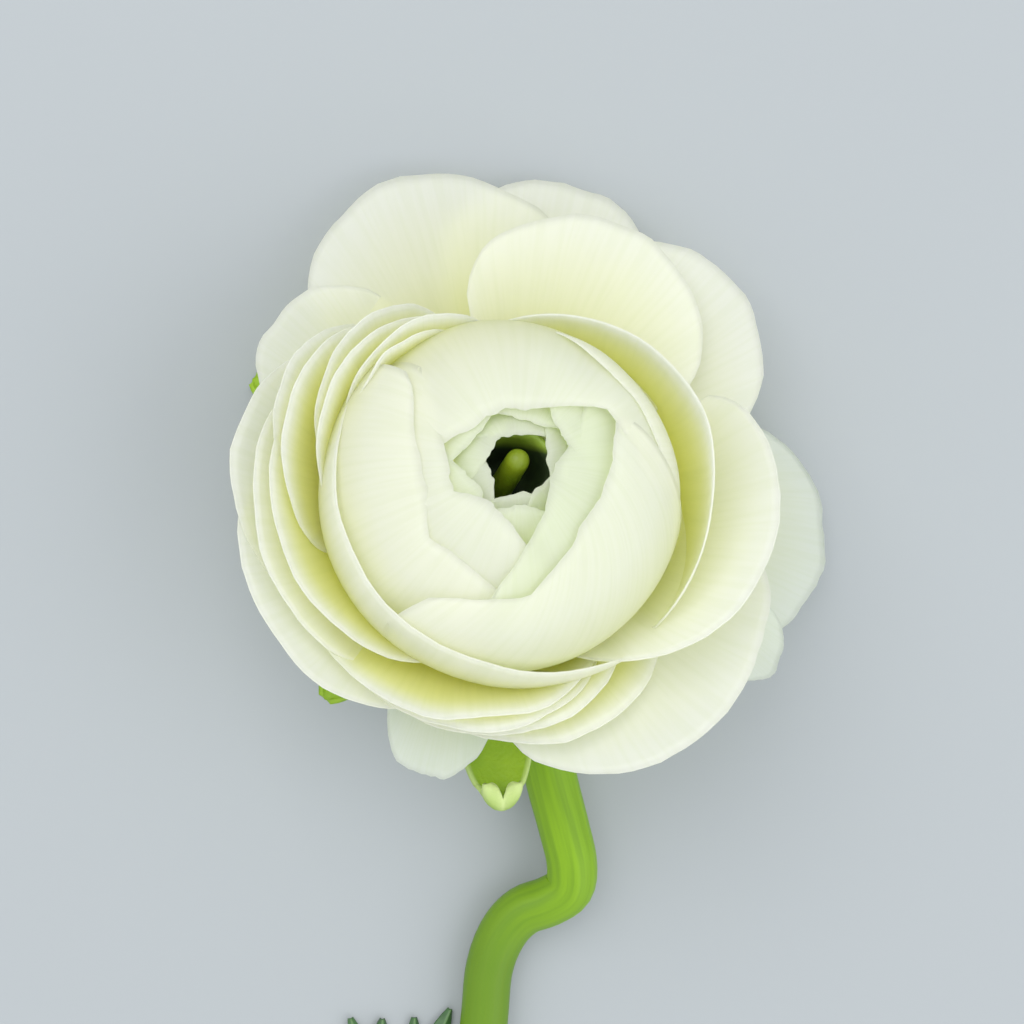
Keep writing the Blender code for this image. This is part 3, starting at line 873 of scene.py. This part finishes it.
class PetalOperator:
    """What the operators that make petals share.

    places are where along a petal its base, middle and rim colours stand.
    """
    petals = ()
    piece_name = ""
    places = (0.36, 0.68, 0.94)

    def colours(self, settings):
        return settings.base, settings.middle, settings.rim

    def execute(self, context):
        settings = context.scene.ranunculus_petals
        material = petal_material(self.piece_name, *self.colours(settings), self.places, settings.glow)
        work = bmesh.new()
        for petal in self.petals:
            add_sheet(work, petal.point, settings.columns, settings.rows, BLOOM)
        piece = finish_piece(self.piece_name, work, material, ["petals"])
        add_wall(piece, settings.wall)
        return {"FINISHED"}


class RANUNCULUS_OT_fallen_petals(PetalOperator, bpy.types.Operator):
    """Makes the old petals that have fallen back below the bloom"""
    bl_idname = "ranunculus.fallen_petals"
    bl_label = "Fallen petals"
    petals = FALLEN_PETALS
    piece_name = "fallen_petals"

    # Painted shade: the fallen petals take the darker, shaded copies of the petal colours.
    def colours(self, settings):
        return settings.fallen_shaded_base, settings.fallen_shaded_middle, settings.fallen_shaded_rim


class RANUNCULUS_OT_open_petals(PetalOperator, bpy.types.Operator):
    """Makes the wide open petals"""
    bl_idname = "ranunculus.open_petals"
    bl_label = "Open petals"
    petals = OPEN_PETALS
    piece_name = "open_petals"

    def colours(self, settings):
        return settings.open_base, settings.open_middle, settings.rim


class RANUNCULUS_OT_cupped_petals(PetalOperator, bpy.types.Operator):
    """Makes the petals that stand round the ball like a cup"""
    bl_idname = "ranunculus.cupped_petals"
    bl_label = "Cupped petals"
    petals = CUPPED_PETALS
    piece_name = "cupped_petals"
    # The cupped petals' yellow reaches far along them, so that it is partly painted shade of the gaps between
    # them.
    places = (0.60, 0.87, 0.97)

    def colours(self, settings):
        return settings.cup_base_and_gap_shade, settings.cup_middle_and_gap_shade, settings.rim


class RANUNCULUS_OT_collar_petals(PetalOperator, bpy.types.Operator):
    """Makes the two broad petals that hold the ball"""
    bl_idname = "ranunculus.collar_petals"
    bl_label = "Collar petals"
    petals = COLLAR_PETALS
    piece_name = "collar_petals"
    places = (0.45, 0.78, 0.94)

    def colours(self, settings):
        # The collar's base takes the cupped petals' colour, partly painted shade of the gaps.
        return settings.cup_base_and_gap_shade, settings.middle, settings.rim


class RANUNCULUS_OT_ball_petals(PetalOperator, bpy.types.Operator):
    """Makes the petals that close over the ball"""
    bl_idname = "ranunculus.ball_petals"
    bl_label = "Ball petals"
    petals = BALL_PETALS
    piece_name = "ball_petals"
    places = (0.30, 0.58, 0.84)


class RANUNCULUS_OT_heart_petals(PetalOperator, bpy.types.Operator):
    """Makes the small petals round the eye"""
    bl_idname = "ranunculus.heart_petals"
    bl_label = "Heart petals"
    petals = HEART_PETALS
    piece_name = "heart_petals"

    def colours(self, settings):
        return settings.heart_base, settings.heart_middle, settings.heart_rim


class RANUNCULUS_OT_core(bpy.types.Operator):
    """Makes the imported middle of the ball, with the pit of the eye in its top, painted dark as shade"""
    bl_idname = "ranunculus.core"
    bl_label = "Core"

    def execute(self, context):
        settings = context.scene.ranunculus_petals
        greens = context.scene.ranunculus_greens
        packed = petal_material("core", settings.base, settings.base, settings.middle, (0.3, 0.6, 0.9), 0.2)
        # The pit gets painted light on its far lip and painted shade in the rest.
        dark = pit_shade_material(greens.pit_lit_lip, greens.pit_shade)
        for name, outline, material in (("core", CORE_OUTLINE, packed), ("pit_shade", PIT_OUTLINE, dark)):
            make_turned(name, outline, OUTLINE_SIDES, outline[-1][1], BLOOM, material, "petals")
        return {"FINISHED"}


class RANUNCULUS_OT_pistil(bpy.types.Operator):
    """Makes the green pistil in the eye"""
    bl_idname = "ranunculus.pistil"
    bl_label = "Pistil"

    def execute(self, context):
        greens = context.scene.ranunculus_greens
        foot = Matrix.Translation(PISTIL_FOOT)
        lean = (Matrix.Rotation(math.radians(PISTIL_LEAN[0]), 4, "X")
                @ Matrix.Rotation(math.radians(PISTIL_LEAN[1]), 4, "Y"))
        straight = PISTIL_LENGTH - PISTIL_RADIUS
        outline = [(PISTIL_RADIUS * (1 + PISTIL_FLARE * (1 - share)), straight * share)
                   for share in (step / PISTIL_STEPS for step in range(PISTIL_STEPS + 1))]
        outline += [(PISTIL_RADIUS * math.cos(turn), straight + PISTIL_RADIUS * math.sin(turn))
                    for turn in (math.pi / 2 * step / 7 for step in range(1, 7))]
        material = green_material("pistil", greens.pistil, greens.pistil_dark, 0.4, 250, 0.05 * MM)
        make_turned("pistil", outline, PISTIL_SIDES, PISTIL_LENGTH, BLOOM @ foot @ lean, material, "pistil")
        return {"FINISHED"}


class RANUNCULUS_OT_calyx(bpy.types.Operator):
    """Makes the receptacle and the five sepals"""
    bl_idname = "ranunculus.calyx"
    bl_label = "Calyx"

    def execute(self, context):
        greens = context.scene.ranunculus_greens
        plain = sepal_material("sepal", greens.sepal, greens.sepal_dark)
        rolled = tip_material(greens.sepal, greens.sepal_dark, greens.sepal_tip)
        top = RECEPTACLE_OUTLINE[-1][1]
        make_turned("receptacle", RECEPTACLE_OUTLINE, OUTLINE_SIDES, top, BLOOM, plain, "calyx")
        for number, sepal in enumerate(SEPALS, 1):
            work = bmesh.new()
            add_sheet(work, sepal.point, *SEPAL_FACES, BLOOM)
            material = rolled if sepal.roll else plain
            piece = finish_piece(f"sepal_{number}", work, material, ["calyx"])
            add_wall(piece, SEPAL_WALL)
        return {"FINISHED"}


class RANUNCULUS_OT_stem(bpy.types.Operator):
    """Makes the stem, from the neck to the cut end"""
    bl_idname = "ranunculus.stem"
    bl_label = "Stem"

    def execute(self, context):
        greens = context.scene.ranunculus_greens
        stops = [(x, y, max(z, STEM_RADIUS * share), share) for (x, y, z), share in STEM_ROUTE]
        route = smooth_route(stops, STEM_STEP)
        places = [GROUND @ Vector(stop[:3]) for stop in route]
        rings = []
        side = Vector((1, 0, 0))
        for index, (place, stop) in enumerate(zip(places, route)):
            along = (places[min(index + 1, len(places) - 1)] - places[max(index - 1, 0)]).normalized()
            side = (side - along * side.dot(along)).normalized()
            up = along.cross(side)
            ring = []
            for turn in (math.tau * corner / STEM_SIDES for corner in range(STEM_SIDES)):
                rib = 1 - STEM_RIB * (0.5 - 0.5 * math.cos(STEM_RIBS * turn + STEM_RIB_TURN * index))
                radius = STEM_RADIUS * stop[3] * rib
                ring.append((place + (side * math.cos(turn) + up * math.sin(turn)) * radius) * MM)
            rings.append(ring)
        last = places[-1]
        away = (places[-1] - places[-2]).normalized()
        cut = rings[-1]
        for inset, past in STEM_CUT:
            rings.append([last * MM + (corner - last * MM) * inset + away * past * MM for corner in cut])
        work = bmesh.new()
        add_tube(work, rings, places[0] * MM, (last - away * STEM_HOLLOW) * MM)
        bmesh.ops.recalc_face_normals(work, faces=work.faces)
        material = stem_material(greens.stem, greens.stem_low_shade, greens.stem_dark, greens.pith)
        finish_piece("stem", work, material, ["stem"])
        return {"FINISHED"}


class RANUNCULUS_OT_leaf(bpy.types.Operator):
    """Makes the divided leaf beside the stem"""
    bl_idname = "ranunculus.leaf"
    bl_label = "Leaf"

    def execute(self, context):
        greens = context.scene.ranunculus_greens
        work = bmesh.new()
        for lobe in leaf_lobes():
            add_sheet(work, lobe.point, *LEAF_FACES, GROUND)
        material = leaf_material(greens.leaf, greens.leaf_dark, greens.leaf_vein)
        piece = finish_piece("leaf", work, material, ["leaf"])
        add_wall(piece, LEAF_WALL)
        return {"FINISHED"}


class RANUNCULUS_PT_sidebar(bpy.types.Panel):
    """Lists the flower's pieces in the 3D view's sidebar"""
    bl_idname = "RANUNCULUS_PT_sidebar"
    bl_label = "Ranunculus"
    bl_space_type = "VIEW_3D"
    bl_region_type = "UI"
    bl_category = "Ranunculus"

    def draw(self, context):
        for operator in OPERATORS:
            self.layout.operator(operator.bl_idname)


OPERATORS = (
    RANUNCULUS_OT_stage,
    RANUNCULUS_OT_fallen_petals,
    RANUNCULUS_OT_open_petals,
    RANUNCULUS_OT_cupped_petals,
    RANUNCULUS_OT_collar_petals,
    RANUNCULUS_OT_ball_petals,
    RANUNCULUS_OT_heart_petals,
    RANUNCULUS_OT_core,
    RANUNCULUS_OT_pistil,
    RANUNCULUS_OT_calyx,
    RANUNCULUS_OT_stem,
    RANUNCULUS_OT_leaf,
)
SETTINGS = {
    "ranunculus_petals": RanunculusPetalSettings,
    "ranunculus_greens": RanunculusGreenSettings,
    "ranunculus_stage": RanunculusStageSettings,
}


def register():
    for kind in (*SETTINGS.values(), *OPERATORS, RANUNCULUS_PT_sidebar):
        bpy.utils.register_class(kind)
    for name, kind in SETTINGS.items():
        setattr(bpy.types.Scene, name, bpy.props.PointerProperty(type=kind))


def unregister():
    for name in SETTINGS:
        delattr(bpy.types.Scene, name)
    for kind in (RANUNCULUS_PT_sidebar, *reversed(OPERATORS), *SETTINGS.values()):
        bpy.utils.unregister_class(kind)


def main():
    register()
    for operator in OPERATORS:
        group, name = operator.bl_idname.split(".")
        getattr(getattr(bpy.ops, group), name)()


if __name__ == "__main__":
    main()
